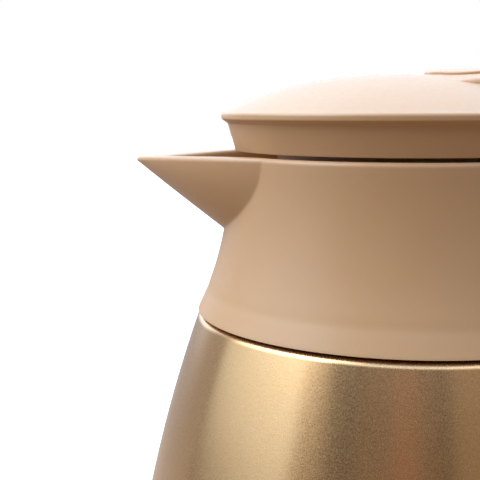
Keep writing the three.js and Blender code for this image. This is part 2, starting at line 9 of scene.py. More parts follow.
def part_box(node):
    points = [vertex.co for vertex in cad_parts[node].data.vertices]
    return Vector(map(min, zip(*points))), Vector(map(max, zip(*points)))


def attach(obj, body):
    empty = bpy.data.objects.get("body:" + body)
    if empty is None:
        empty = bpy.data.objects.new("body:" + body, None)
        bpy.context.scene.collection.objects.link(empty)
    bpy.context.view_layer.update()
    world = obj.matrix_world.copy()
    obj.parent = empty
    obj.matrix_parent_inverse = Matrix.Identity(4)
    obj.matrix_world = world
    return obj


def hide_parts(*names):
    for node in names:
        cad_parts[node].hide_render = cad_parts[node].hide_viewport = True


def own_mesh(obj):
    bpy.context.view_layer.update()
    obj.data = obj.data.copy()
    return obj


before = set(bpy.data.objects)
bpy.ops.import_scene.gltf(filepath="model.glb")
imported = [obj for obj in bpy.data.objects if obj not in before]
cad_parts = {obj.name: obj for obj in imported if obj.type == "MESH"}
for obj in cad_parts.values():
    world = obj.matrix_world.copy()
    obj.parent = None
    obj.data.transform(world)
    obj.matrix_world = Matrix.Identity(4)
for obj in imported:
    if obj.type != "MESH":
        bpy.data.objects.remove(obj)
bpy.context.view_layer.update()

MM = 0.001
RING_STEPS = 192
SHARP_ANGLE = math.radians(32)


def box_mm(node):
    low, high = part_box(node)
    return Vector(low) / MM, Vector(high) / MM


# ---- sizes taken from the frame ---------------------------------------------------------------------------
LID_LOW, LID_HIGH = box_mm("lid_cover")
COLLAR_LOW = box_mm("collar")[0]
SHELL_LOW, SHELL_HIGH = box_mm("outer_shell")
LINER_LOW, LINER_HIGH = box_mm("inner_liner")
CUP_LOW, CUP_HIGH = box_mm("base_cup")
PAD_LOW, PAD_HIGH = box_mm("base_pad")
BASE_HIGH = box_mm("lid_base")[1]
LEVER_HIGH = box_mm("lever")[1]
STEM_LOW, STEM_HIGH = box_mm("valve_stem")
PIN_LOW, PIN_HIGH = box_mm("lever_pin")
PIVOT = (PIN_LOW + PIN_HIGH) / 2
PIN_R = (PIN_HIGH.x - PIN_LOW.x) / 2
LID_SCREWS = ("lid_screw_front", "lid_screw_left", "lid_screw_right")

RIM_Z = LID_LOW.z + 9.4
SKIRT_LOW = RIM_Z - 9.05
LID_R = LID_HIGH.x
SKIRT_R = 42.5
DOME_RISE = 8.8
DOME_FLAT_R = 8.4           # the dome is flat within this, and an arc outside it
DOME_ARC = 82.8
LID_WALL = 2.0
INNER_RIM_R = 42.0          # the inside of the lid's rim

COLLAR_TOP = RIM_Z - 9.9
COLLAR_BOTTOM = COLLAR_LOW.z
COLLAR_R = 44.1             # above FLARE_TOP
COLLAR_WALL = 2.2
FLARE_TOP = RIM_Z - 14.0
FLARE_ARC = 80.0
BAND_Z = RIM_Z - 43.4       # a faint crease that sets off the collar's foot
BAND_GROOVE = 0.09
BAND_SOFTNESS = 1.3
CHANNEL_FLOOR = RIM_Z - 29.0
SLEEVE_R = 38.9

BEAK_TIP = -COLLAR_LOW.x + 0.3
BEAK_START = 32.6           # how far ahead of the axis the lip starts to fall
BEAK_DROP = 1.2             # how far it falls from there to the beak's tip
BEAK_FALL = 1.8             # the power of that curve
BEAK_HALF_WIDTH = 0.785     # of its length, at the roots
BEAK_BOW = 0.5              # how much wider the beak is ahead of its roots than straight sides would be
BEAK_LENGTH = 39.0
BEAK_WALL_AT_TIP = 8.0
BEAK_ROOT = math.radians(46)    # the beak lies within this angle of straight ahead
KEEL_SLOPE = 0.72           # how steeply the beak deepens behind its tip

BODY_R = SHELL_HIGH.x
WIDEST_Z = RIM_Z - 174.6    # the body is one arc above this and another below
BODY_ARC = 375.0
FOOT_ARC = 60.0
BODY_TOP = RIM_Z - 49.5
NECK_R = 36.5
MOUTH_R = 34.6
MOUTH_Z = LINER_HIGH.z
STEEL = 0.5
VACUUM = 7.0


def sag(arc, distance):
    """How far a circle of radius arc has curved away at a distance along its tangent."""
    return arc - np.sqrt(arc * arc - distance * distance)


def body_radius(z):
    return BODY_R - sag(BODY_ARC if z > WIDEST_Z else FOOT_ARC, z - WIDEST_Z)


def collar_radius(z):
    return COLLAR_R + sag(FLARE_ARC, np.maximum(0.0, FLARE_TOP - z))


def dome_z(r):
    return RIM_Z + DOME_RISE - sag(DOME_ARC, np.maximum(0.0, r - DOME_FLAT_R))


# ---- points and curves ------------------------------------------------------------------------------------
def spaced(first, last, count):
    """Evenly spaced numbers, both ends included."""
    return [first + (last - first) * i / (count - 1) for i in range(count)]


def bezier(a, b, c, d, count):
    """A cubic curve's points, without its last one."""
    t = np.linspace(0.0, 1.0, count, endpoint=False)[:, None]
    a, b, c, d = (np.array(p, dtype=float) for p in (a, b, c, d))
    return a * (1 - t) ** 3 + b * 3 * t * (1 - t) ** 2 + c * 3 * t * t * (1 - t) + d * t ** 3


def straight(a, b, count):
    """A straight line's points, without its last one."""
    t = np.linspace(0.0, 1.0, count, endpoint=False)[:, None]
    return np.array(a, dtype=float) * (1 - t) + np.array(b, dtype=float) * t


def shrink(outline, centre, share):
    return centre + (outline - centre) * share


def inset(outline, distance):
    """An outline moved inwards by a distance, along its own normals."""
    ahead = np.roll(outline, -1, axis=0) - np.roll(outline, 1, axis=0)
    ahead /= np.maximum(np.hypot(ahead[:, 0], ahead[:, 1]), 1e-9)[:, None]
    normal = np.stack([-ahead[:, 1], ahead[:, 0]], axis=1)
    return outline + normal * distance


def laid_on(surface, outline, drop=0.0):
    """An outline's points on a surface z(x, y), or this far below it."""
    return np.column_stack([outline, surface(outline[:, 0], outline[:, 1]) - drop])


def soft_max(a, b, width):
    """The larger of two values, with a rounded change from one to the other."""
    return (a + b + np.sqrt((a - b) ** 2 + width * width)) / 2


# ---- mesh tools -------------------------------------------------------------------------------------------
def grid_piece(name, grid, wrap_rows=True):
    """A mesh over a (rows, columns, 3) array of points, each row a loop. Points that coincide are merged."""
    grid = np.asarray(grid, dtype=float)
    rows, columns = grid.shape[:2]
    quads = [
        (r * columns + c, r * columns + (c + 1) % columns,
         ((r + 1) % rows) * columns + (c + 1) % columns, ((r + 1) % rows) * columns + c)
        for r in range(rows if wrap_rows else rows - 1)
        for c in range(columns)
    ]
    mesh = bpy.data.meshes.new(name)
    mesh.from_pydata((grid.reshape(-1, 3) * MM).tolist(), [], quads)
    work = bmesh.new()
    work.from_mesh(mesh)
    bmesh.ops.remove_doubles(work, verts=work.verts, dist=2e-7)
    bmesh.ops.dissolve_degenerate(work, edges=work.edges, dist=1e-8)
    bmesh.ops.recalc_face_normals(work, faces=work.faces)
    work.to_mesh(mesh)
    work.free()
    obj = bpy.data.objects.new(name, mesh)
    bpy.context.collection.objects.link(obj)
    return obj


def filleted(corners, segments=5):
    """A closed outline of (radius, height[, fillet]) corners. A fillet takes less than half of each side."""
    outline = []
    most = 0.49
    count = len(corners)
    for i, corner in enumerate(corners):
        here = Vector(corner[:2])
        fillet = corner[2] if len(corner) > 2 else 0.0
        back = Vector(corners[i - 1][:2]) - here
        ahead = Vector(corners[(i + 1) % count][:2]) - here
        if fillet <= 0.0 or back.length < 1e-6 or ahead.length < 1e-6:
            outline.append(tuple(here))
            continue
        half = back.angle(ahead) / 2
        reach = min(fillet / math.tan(half), most * back.length, most * ahead.length)
        start = here + back.normalized() * reach
        end = here + ahead.normalized() * reach
        # A quadratic curve through the corner's tangent points is close enough to an arc at this size.
        for k in range(segments + 1):
            t = k / segments
            outline.append(tuple(start * (1 - t) ** 2 + here * 2 * t * (1 - t) + end * t * t))
    return outline


def turned(name, corners, steps=RING_STEPS, segments=5):
    """A closed outline turned about Z. It goes up the outside and comes down the inside."""
    outline = np.array(filleted(corners, segments))
    angles = np.linspace(0.0, 2 * math.pi, steps, endpoint=False)
    grid = np.empty((len(outline), steps, 3))
    grid[:, :, 0] = outline[:, :1] * np.cos(angles)
    grid[:, :, 1] = outline[:, :1] * np.sin(angles)
    grid[:, :, 2] = outline[:, 1:]
    on_axis = outline[0, 0] == 0.0 and outline[-1, 0] == 0.0
    return grid_piece(name, grid, wrap_rows=not on_axis)


def stacked(name, rings):
    """A closed solid over rings with equal point counts. Its ends shrink from the outer rings to a point."""
    rings = [np.asarray(ring, dtype=float) for ring in rings]
    first = np.repeat(rings[0].mean(axis=0)[None], len(rings[0]), axis=0)
    last = np.repeat(rings[-1].mean(axis=0)[None], len(rings[-1]), axis=0)
    return grid_piece(name, np.stack([first, *rings, last]), wrap_rows=False)


def rounded_block(name, low, high, bevel):
    """A block between two corners, with rounded edges."""
    mesh = bpy.data.meshes.new(name)
    work = bmesh.new()
    bmesh.ops.create_cube(work, size=1.0)
    centre = (Vector(low) + Vector(high)) / 2
    size = Vector(high) - Vector(low)
    for vertex in work.verts:
        vertex.co = Vector(c + v * s for c, v, s in zip(centre, vertex.co, size)) * MM
    bmesh.ops.bevel(work, geom=work.edges, offset=bevel * MM, segments=3, profile=0.5, affect="EDGES")
    work.to_mesh(mesh)
    work.free()
    obj = bpy.data.objects.new(name, mesh)
    bpy.context.collection.objects.link(obj)
    return obj


def placed(obj, move=(0, 0, 0), turn=0.0, axis="Z"):
    """Turns a piece about an axis through the origin, then moves it."""
    obj.data.transform(Matrix.Translation(Vector(move) * MM) @ Matrix.Rotation(turn, 4, axis))
    return obj


def rod(name, radius, low, high, bevel):
    """A rod along Z with rounded ends."""
    return turned(name, [(0, low), (radius, low, bevel), (radius, high, bevel), (0, high)], 48, 3)


def cross_rod(name, radius, half, x, z, bevel):
    return placed(rod(name, radius, -half, half, bevel), (x, 0, z), math.pi / 2, "X")


def upright_rod(name, radius, low, high, x, y, bevel):
    return placed(rod(name, radius, low, high, bevel), (x, y, 0))


def combine(target, tool, operation):
    """Joins, cuts or intersects target with tool, and deletes tool."""
    modifier = target.modifiers.new("combine", "BOOLEAN")
    modifier.operation = operation
    modifier.solver = "EXACT"
    modifier.object = tool
    depsgraph = bpy.context.evaluated_depsgraph_get()
    result = bpy.data.meshes.new_from_object(target.evaluated_get(depsgraph))
    target.modifiers.clear()
    old = target.data
    target.data = result
    bpy.data.meshes.remove(old)
    bpy.data.objects.remove(tool)
    return target


def join(target, *tools):
    for tool in tools:
        combine(target, tool, "UNION")
    return target


def cut(target, *tools):
    for tool in tools:
        combine(target, tool, "DIFFERENCE")
    return target


def dress(obj, material):
    """Smooth shading with crisp edges, and the piece's material."""
    mesh = obj.data
    mesh.polygons.foreach_set("use_smooth", [True] * len(mesh.polygons))
    mesh.set_sharp_from_angle(angle=SHARP_ANGLE)
    mesh.materials.clear()
    mesh.materials.append(material)
    modifier = obj.modifiers.new("even_normals", "WEIGHTED_NORMAL")
    modifier.keep_sharp = True
    modifier.weight = 80


def fit(obj, body, slot, material, *nodes):
    """Dresses a finished piece, and names its body and the CAD nodes it stands for. The slot argument is not
    used.
    """
    dress(obj, material)
    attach(obj, body)
    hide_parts(*nodes)


# ---- materials --------------------------------------------------------------------------------------------
NOISE_SPAN = (0.3, 0.7)     # most of a noise texture's values lie in here


class Shader:
    """A material's node tree, with short calls for the nodes that the surfaces below share."""

    def __init__(self, name):
        self.material = bpy.data.materials.new(name)
        self.material.use_nodes = True
        self.tree = self.material.node_tree
        self.surface = self.tree.nodes["Principled BSDF"]
        self.place = self.node("ShaderNodeTexCoord").outputs["Object"]

    def node(self, kind, **settings):
        node = self.tree.nodes.new(kind)
        for key, value in settings.items():
            setattr(node, key, value)
        return node

    def link(self, source, target):
        self.tree.links.new(source, target)

    def stretch(self, x, y, z):
        """Object coordinates scaled by axis."""
        mapping = self.node("ShaderNodeMapping")
        mapping.inputs["Scale"].default_value = (x, y, z)
        self.link(self.place, mapping.inputs["Vector"])
        return mapping.outputs["Vector"]

    def noise(self, scale, detail=2.0, roughness=0.5, vector=None):
        node = self.node("ShaderNodeTexNoise")
        node.inputs["Scale"].default_value = scale
        node.inputs["Detail"].default_value = detail
        node.inputs["Roughness"].default_value = roughness
        self.link(vector or self.place, node.inputs["Vector"])
        return node.outputs["Fac"]

    def spread(self, value, low, high):
        """A noise value mapped to low..high."""
        node = self.node("ShaderNodeMapRange")
        numbers = (*NOISE_SPAN, low, high)
        for key, number in zip(("From Min", "From Max", "To Min", "To Max"), numbers):
            node.inputs[key].default_value = number
        self.link(value, node.inputs["Value"])
        return node.outputs["Result"]

    def tones(self, value, dark, light):
        """A colour that runs from dark to light with a noise value."""
        node = self.node("ShaderNodeValToRGB")
        for element, position, colour in zip(node.color_ramp.elements, NOISE_SPAN, (dark, light)):
            element.position = position
            element.color = (*colour, 1.0)
        self.link(value, node.inputs["Fac"])
        return node.outputs["Color"]

    def blend(self, a, b, factor):
        node = self.node("ShaderNodeMix", data_type="RGBA")
        node.inputs["Factor"].default_value = factor
        self.link(a, node.inputs["A"])
        self.link(b, node.inputs["B"])
        return node.outputs["Result"]

    def add(self, a, b):
        node = self.node("ShaderNodeMath", operation="ADD")
        self.link(a, node.inputs[0])
        self.link(b, node.inputs[1])
        return node.outputs["Value"]

    def bump(self, height, strength, distance):
        node = self.node("ShaderNodeBump")
        node.inputs["Strength"].default_value = strength
        node.inputs["Distance"].default_value = distance
        self.link(height, node.inputs["Height"])
        self.link(node.outputs["Normal"], self.surface.inputs["Normal"])

    def set(self, **values):
        for key, value in values.items():
            self.surface.inputs[key.replace("_", " ")].default_value = value

    def drive(self, key, source):
        self.link(source, self.surface.inputs[key])


def moulded_plastic(name, dark, light, roughness):
    """Matt moulded plastic: fine spark-eroded grain, faint colour drift, a little light under the skin."""
    shader = Shader(name)
    drift = shader.noise(22.0, 3.0)
    grain = shader.noise(5200.0, 2.0, 0.6)
    soft = shader.noise(900.0, 2.0)
    shader.drive("Base Color", shader.tones(drift, dark, light))
    shader.drive("Roughness", shader.spread(soft, roughness - 0.04, roughness + 0.05))
    shader.bump(shader.add(grain, soft), 0.16, 0.00003)
    shader.set(Subsurface_Weight=0.2, Subsurface_Scale=0.0013, Subsurface_Radius=(1.0, 0.42, 0.16))
    shader.set(IOR=1.54)
    return shader.material


def satin_metal(name, dark, light, roughness, streak=0.5, grain_bump=0.12):
    """Satin metal: fine blasted grain with short streaks along the turning direction."""
    shader = Shader(name)
    blotch = shader.noise(34.0, 4.0, 0.55)
    grain = shader.noise(3600.0, 2.0, 0.7)
    turning = shader.noise(1.0, 3.0, 0.6, shader.stretch(600.0, 600.0, 3900.0))
    mixed = shader.blend(shader.tones(blotch, dark, light), shader.tones(turning, dark, light), streak)
    shader.drive("Base Color", mixed)
    shader.drive("Roughness", shader.spread(grain, roughness - 0.05, roughness + 0.07))
    shader.bump(shader.add(grain, turning), grain_bump, 0.00002)
    # Turned about Z, so that highlights stretch up and down the wall, across the fine turning lines.
    around = shader.node("ShaderNodeTangent", direction_type="RADIAL", axis="Z")
    shader.drive("Tangent", around.outputs["Tangent"])
    shader.set(Metallic=1.0, Anisotropic=0.75, Anisotropic_Rotation=0.25)
    return shader.material


def soft_rubber(name, dark, light, roughness, glow=0.0):
    shader = Shader(name)
    shader.drive("Base Color", shader.tones(shader.noise(60.0, 3.0), dark, light))
    pores = shader.noise(2600.0, 3.0, 0.7)
    shader.drive("Roughness", shader.spread(pores, roughness - 0.08, roughness + 0.06))
    shader.bump(pores, 0.25, 0.00004)
    shader.set(Subsurface_Weight=glow, Subsurface_Scale=0.002, IOR=1.42)
    return shader.material


BEIGE = moulded_plastic("beige_plastic", (0.540, 0.305, 0.150), (0.575, 0.332, 0.168), 0.40)
INNER_BEIGE = moulded_plastic("inner_plastic", (0.490, 0.270, 0.138), (0.530, 0.300, 0.160), 0.36)
BRONZE = satin_metal("bronze_steel", (0.640, 0.385, 0.185), (0.740, 0.465, 0.240), 0.27)
BARE = satin_metal("bare_steel", (0.52, 0.52, 0.51), (0.66, 0.66, 0.65), 0.26, 0.35)
SINTERED = satin_metal("getter_metal", (0.12, 0.12, 0.12), (0.22, 0.22, 0.22), 0.7, 0.1, 0.4)
SILICONE = soft_rubber("silicone", (0.74, 0.70, 0.64), (0.82, 0.79, 0.74), 0.5, 0.2)
RUBBER = soft_rubber("dark_rubber", (0.040, 0.032, 0.025), (0.060, 0.050, 0.040), 0.75)


# ---- the steel bottle -------------------------------------------------------------------------------------
def outer_shell():
    foot = SHELL_LOW.z
    shoulder = 1.9
    tilt = math.asin((BODY_TOP - WIDEST_Z) / BODY_ARC)
    bend = BODY_TOP - shoulder * (1 - math.sin(tilt))
    top_r = body_radius(bend)
    centre_r = top_r - shoulder * math.cos(tilt)
    outside = [(body_radius(z), z) for z in spaced(foot + 0.4, bend, 56)]
    rounding = [
        (centre_r + shoulder * math.cos(a), BODY_TOP - shoulder + shoulder * math.sin(a))
        for a in np.linspace(tilt, math.pi / 2, 10)[1:]
    ]
    neck_base, neck_top, neck_inner = BODY_TOP + 4.5, SHELL_HIGH.z, NECK_R - STEEL
    corners = [
        (body_radius(foot) - 0.25, foot), *outside, *rounding,
        (44.0, BODY_TOP + 0.9, 6.0), (NECK_R, neck_base, 2.0), (NECK_R, neck_top), (neck_inner, neck_top),
        (neck_inner, neck_base - 0.6, 2.0), (43.8, BODY_TOP + 0.3, 6.0), (top_r - 2.0, BODY_TOP - 0.6, 1.0),
        *[(body_radius(z) - STEEL, z) for z in spaced(foot, BODY_TOP - 3.0, 24)[::-1]],
    ]
    fit(turned("bottle_outer_shell", corners), "pot", "bronze_steel", BRONZE, "outer_shell")


def inner_liner():
    low = LINER_LOW.z
    corner = 20.0

    def skin(z):
        return body_radius(z) - VACUUM

    def wall(thick):
        floor = [(0.0, low + thick), (skin(low + corner) - thick, low + thick, corner - thick)]
        side = [(skin(z) - thick, z) for z in spaced(low + corner + 4.0, RIM_Z - 76.0, 12)]
        neck = [(48.0 - thick, RIM_Z - 63.0, 8.0), (MOUTH_R + STEEL - thick, RIM_Z - 54.0, 6.0)]
        return floor + side + neck

    lip_r, lip_low = NECK_R + 0.2, MOUTH_Z - 1.0
    lip = [(MOUTH_R + STEEL, lip_low), (lip_r, lip_low, 0.3), (lip_r, MOUTH_Z, 0.4), (MOUTH_R, MOUTH_Z, 0.6)]
    corners = wall(0.0) + lip + wall(STEEL)[::-1]
    fit(turned("bottle_inner_liner", corners, 128, 10), "pot", "bare_steel", BARE, "inner_liner")


# ---- the base ---------------------------------------------------------------------------------------------
def base_cup():
    low, top = CUP_LOW.z, CUP_HIGH.z
    recess, floor_top, step = 3.2, 5.4, 5.2
    pad_r = PAD_HIGH.x + 0.4
    top_r = body_radius(top)
    corners = [
        (0.0, recess), (pad_r, recess, 0.3), (pad_r, low, 0.5), (63.6, low, 2.4),
        (body_radius(step) - 0.1, step, 2.0), (top_r, top, 0.5), (top_r - 2.4, top, 0.4),
        (63.5, floor_top, 1.5), (0.0, floor_top),
    ]
    fit(turned("base_cup_moulding", corners), "pot", "beige_plastic", BEIGE, "base_cup")


def base_pad():
    """A rubber disc with shallow concentric grip grooves in its underside."""
    low, high = PAD_LOW.z, PAD_HIGH.z
    groove = 0.35
    corners = [(0.0, low)]
    for r in (14.0, 26.0, 38.0, 50.0):
        corners += [(r - 0.8, low), (r - 0.4, low + groove), (r + 0.4, low + groove), (r + 0.8, low)]
    corners += [(57.4, low, 0.4), (PAD_HIGH.x, low + 0.8, 0.4), (PAD_HIGH.x, high), (0.0, high)]
    fit(turned("base_grip_pad", corners), "pot", "dark_rubber", RUBBER, "base_pad")


# ---- the collar and its beak ------------------------------------------------------------------------------
def lip_z(x_forward):
    """Height of the pouring lip: level round the collar, falling towards the beak's tip."""
    share = np.clip((x_forward - BEAK_START) / (BEAK_TIP - BEAK_START), 0.0, 1.0)
    return COLLAR_TOP - BEAK_DROP * share ** BEAK_FALL


def beak_reach(angle, z, tip):
    """How far the beak's surface lies from the axis, found by halving. Its sections are half ellipses."""
    c, s = np.cos(angle), np.abs(np.sin(angle))
    near = np.zeros(np.broadcast(angle, z).shape)
    far = near + tip - 0.001
    for _ in range(40):
        r = (near + far) / 2
        behind_tip = tip - r * c
        half_width = BEAK_HALF_WIDTH * behind_tip * (1 + BEAK_BOW * (1 - behind_tip / BEAK_LENGTH))
        lip = lip_z(r * c)
        depth = lip - lip_z(BEAK_TIP) + KEEL_SLOPE * behind_tip
        below = np.maximum(lip - z, 0.0)
        inside = (r * s / half_width) ** 2 + (below / depth) ** 2 < 1.0
        near = np.where(inside, r, near)
        far = np.where(inside, far, r)
    return np.where(np.abs(angle) < BEAK_ROOT, near, 0.0)


def collar():
    fine = np.linspace(-BEAK_ROOT, BEAK_ROOT, 369)
    coarse = np.linspace(BEAK_ROOT, 2 * math.pi - BEAK_ROOT, 150)[1:-1]
    angle = np.concatenate([fine, coarse])
    angle = ((angle + math.pi) % (2 * math.pi) - math.pi)[None, :]
    crease = 0.15
    lip = 1.05
    # The rounded lip takes this much off the beak's point, so the section starts from further out.
    tip = BEAK_TIP + lip / KEEL_SLOPE

    def outside(z):
        groove = BAND_GROOVE * np.exp(-((z - BAND_Z) / BAND_SOFTNESS) ** 2)
        return soft_max(collar_radius(z) - groove, beak_reach(angle, z, tip), crease)

    def inside(z):
        return soft_max(collar_radius(z) - COLLAR_WALL, beak_reach(angle, z, tip - BEAK_WALL_AT_TIP), crease)

    # The lip's height follows the beak's own edge, found at its full height.
    edge = np.maximum(COLLAR_R, beak_reach(angle, COLLAR_TOP, tip))
    top = lip_z(edge * np.cos(angle))

    rows = []

    def row(radius, z):
        rows.append(np.stack(np.broadcast_arrays(radius, z, angle)[:2], axis=-1)[0])

    foot = COLLAR_BOTTOM
    row(collar_radius(foot) - 0.5, foot)
    row(collar_radius(foot) - 0.12, foot + 0.12)
    for share in np.concatenate([np.linspace(0.013, 0.5, 26), np.linspace(0.5, 1.0, 64)[1:]]):
        z = foot + (top - lip - foot) * share
        row(outside(z), z)
    outer_edge, inner_edge = outside(top - lip), inside(top - lip)
    for turn in np.linspace(0.0, math.pi / 2, 7)[1:]:
        row(outer_edge - lip * (1 - math.cos(turn)), top - lip + lip * math.sin(turn))
    for turn in np.linspace(math.pi / 2, 0.0, 6):
        row(inner_edge + lip * (1 - math.cos(turn)), top - lip + lip * math.sin(turn))
    for share in np.linspace(1.0, 0.0, 44)[1:]:
        z = CHANNEL_FLOOR + 0.4 + (top - lip - CHANNEL_FLOOR - 0.4) * share
        row(inside(z), z)

    # The sleeve hangs from the channel's floor, inside the collar.
    sleeve_low, sleeve_outer = RIM_Z - 44.4, SLEEVE_R + 2.0
    channel_low = CHANNEL_FLOOR - 2.2
    inner = [
        (collar_radius(CHANNEL_FLOOR) - COLLAR_WALL - 0.4, CHANNEL_FLOOR), (SLEEVE_R, CHANNEL_FLOOR),
        (SLEEVE_R, sleeve_low), (sleeve_outer, sleeve_low), (sleeve_outer, channel_low),
        *[(collar_radius(z) - COLLAR_WALL, z) for z in spaced(channel_low, foot, 8)],
    ]
    for radius, z in inner:
        row(radius, z)

    profile = np.stack(rows)                       # (rows, columns, [radius, height])
    grid = np.empty((*profile.shape[:2], 3))
    grid[..., 0] = -profile[..., 0] * np.cos(angle)
    grid[..., 1] = profile[..., 0] * np.sin(angle)
    grid[..., 2] = profile[..., 1]
    fit(grid_piece("pouring_collar", grid), "pot", "beige_plastic", BEIGE, "collar")


def neck_parts():
    low, high = box_mm("neck_ring")
    flange, ledge = CHANNEL_FLOOR + 0.3, MOUTH_Z + 1.6
    outer, thread, bore = NECK_R + 2.0, NECK_R + 0.5, 35.8
    corners = [
        (outer, low.z, 0.3), (outer, flange), (high.x, flange, 0.3), (high.x, high.z, 0.8),
        (bore, high.z, 0.6), (bore, ledge, 0.3), (thread, ledge, 0.3), (thread, low.z, 0.3),
    ]
    fit(turned("neck_clamp_ring", corners, 128, 3), "pot", "inner_plastic", INNER_BEIGE, "neck_ring")

    low, high = box_mm("neck_gasket")
    inner = MOUTH_R + 0.4
    corners = [(high.x, low.z, 0.4), (high.x, high.z, 0.4), (inner, high.z, 0.4), (inner, low.z, 0.4)]
    fit(turned("mouth_gasket", corners, 128, 3), "pot", "silicone", SILICONE, "neck_gasket")


# ---- the handle -------------------------------------------------------------------------------------------
HANDLE_HALF = 11.0
HANDLE_SEAM = 5.0           # how far the seam lies from the finger side
SEAM_GAP = 0.3
SQUARENESS = 2.0 / 3.4      # the power that makes the handle's section squarer than an ellipse


def handle_edges():
    """The handle's palm side and finger side in the XZ plane, from the collar to the body."""
    right = box_mm("handle_outer")[1].x
    top, bottom = 12.5, 149.5

    def at(x, below):
        return (x, RIM_Z - below)

    palm = np.vstack([
        straight(at(38, top), at(76, top), 12),
        bezier(at(76, top), at(98, top), at(right, 28), at(right, 52), 20),
        straight(at(right, 52), at(right - 2, 100), 12),
        bezier(at(right - 2, 100), at(right - 3.5, 130), at(92, bottom), at(66, bottom), 20),
        [at(66, bottom)],
    ])
    finger = np.vstack([
        straight(at(38, 36), at(72, 33), 12),
        bezier(at(72, 33), at(86, 33), at(94, 44), at(94, 62), 20),
        straight(at(94, 62), at(93, 98), 12),
        bezier(at(93, 98), at(92, 120), at(84, 135), at(66, 135), 20),
        [at(66, 135)],
    ])
    return palm, finger


def handle_half(name, outer):
    """One half of the handle, lofted between the palm and finger edges, with a softened seam."""
    chamfer = 0.35
    side = 1 if outer else -1
    rings = []
    for there, here in zip(*handle_edges()):
        across = there - here
        depth = float(np.hypot(*across))
        across /= depth
        seam = HANDLE_SEAM + side * SEAM_GAP / 2
        limit = seam / depth * 2 - 1               # the seam's place on the section's -1..1 depth
        start = math.acos(min(1.0, abs(limit) ** (1 / SQUARENESS))) if limit < 0 else 0.0
        ends = (start - math.pi, math.pi - start) if outer else (math.pi - start, math.pi + start)
        sweep = np.linspace(*ends, 21)
        u, v = (np.sign(wave) * np.abs(wave) ** SQUARENESS for wave in (np.cos(sweep), np.sin(sweep)))
        u = (u + 1) / 2 * depth
        v = v * HANDLE_HALF
        seam_face = [(u[i], v[i] - math.copysign(chamfer, v[i])) for i in (-1, 0)]
        u[[0, -1]] += side * chamfer
        rings.append([
            (here[0] + across[0] * su, sv, here[1] + across[1] * su) for su, sv in [*zip(u, v), *seam_face]
        ])
    return stacked(name, rings)


def pot_room():
    """The space of the pot with a little clearance, to trim what stands against it."""
    clear, low = 0.25, 30.0
    body = [(body_radius(z) + clear, z) for z in spaced(low, BODY_TOP, 40)]
    flare = [(collar_radius(z) + clear, z) for z in spaced(COLLAR_BOTTOM, FLARE_TOP, 24)]
    corners = [(0.0, low), *body, *flare, (COLLAR_R + clear, RIM_Z), (0.0, RIM_Z)]
    return turned("pot_room", corners)


def fixing_room():
    """Room inside the handle for the collar's lug, the welded bracket and the three screws."""
    clear = 0.4
    bracket_low, bracket_high = box_mm("handle_bracket")
    top_low, top_high = box_mm("handle_screw_top")
    middle_low = box_mm("handle_screw_middle")[0]
    screw_low, screw_high = box_mm("handle_screw_lower")
    axis = (screw_low.x + screw_high.x) / 2
    lug_low, lug_high = (40.0, -7.4, RIM_Z - 30.4), (50.4, 7.4, RIM_Z - 15.1)
    screws_low = (45.0, top_low.y - clear, middle_low.z - clear)
    screws_high = (top_high.x + clear, top_high.y + clear, top_high.z + clear)
    margin = Vector((clear, clear, clear))
    return [
        rounded_block("lug_room", lug_low, lug_high, 0.2),
        rounded_block("screws_room", screws_low, screws_high, 0.2),
        rounded_block("bracket_room", bracket_low - margin, bracket_high + margin, 0.2),
        upright_rod("shank_room", 1.9, screw_low.z - clear, screw_high.z + clear, axis, 0.0, 0.0),
        upright_rod("head_room", 3.75, screw_low.z - 8.0, screw_low.z + 2.3, axis, 0.0, 0.0),
    ]


def handle():
    low, high = box_mm("handle_screw_cap")
    bracket_low, bracket_high = box_mm("handle_bracket")

    # The palm half closes round the bracket at its lower end.
    wall = 1.6
    foot_low = (bracket_low.x, bracket_low.y - wall, low.z - 0.2)
    foot_high = (bracket_high.x + wall, bracket_high.y + wall, bracket_low.z + 4.6)
    outer = handle_half("handle_palm_half", True)
    join(outer, rounded_block("foot", foot_low, foot_high, 2.0))
    fit(cut(outer, pot_room(), *fixing_room()), "pot", "beige_plastic", BEIGE, "handle_outer")

    inner = handle_half("handle_finger_half", False)
    fit(cut(inner, pot_room(), *fixing_room()), "pot", "beige_plastic", BEIGE, "handle_inner")

    x, radius = (low.x + high.x) / 2, (high.x - low.x) / 2
    plug = upright_rod("handle_screw_plug", radius, low.z, high.z, x, 0.0, 0.35)
    fit(plug, "pot", "beige_plastic", BEIGE, "handle_screw_cap")


# ---- the lid ----------------------------------------------------------------------------------------------
LEVER_FRONT = 3.8
LEVER_REAR = LEVER_HIGH.x
LEVER_HALF = LEVER_HIGH.y
TAIL_HALF = 24.4
PROUD = 0.60                # how far the lever's plate stands above the lid round it
TAIL_FLARE = 0.9            # how far the tail's side walls spread at their foot


def lever_plan(grow):
    """The lever plate's outline from above: a blunt leaf with its point towards the spout."""
    half = LEVER_HALF + grow
    nose, tail = 20.0, 15.0
    side = [
        bezier((LEVER_FRONT - grow, 0), (LEVER_FRONT - grow, -12.4), (LEVER_FRONT + 4, -half),
               (LEVER_FRONT + nose, -half), 24),
        straight((LEVER_FRONT + nose, -half), (LEVER_REAR - tail, -half), 12),
        bezier((LEVER_REAR - tail, -half), (LEVER_REAR - 3, -half), (LEVER_REAR + grow, -12.0),
               (LEVER_REAR + grow, 0), 20),
    ]
    lower = np.vstack(side)
    upper = lower[1:][::-1] * [1, -1]
    return np.vstack([lower, [(LEVER_REAR + grow, 0.0)], upper])


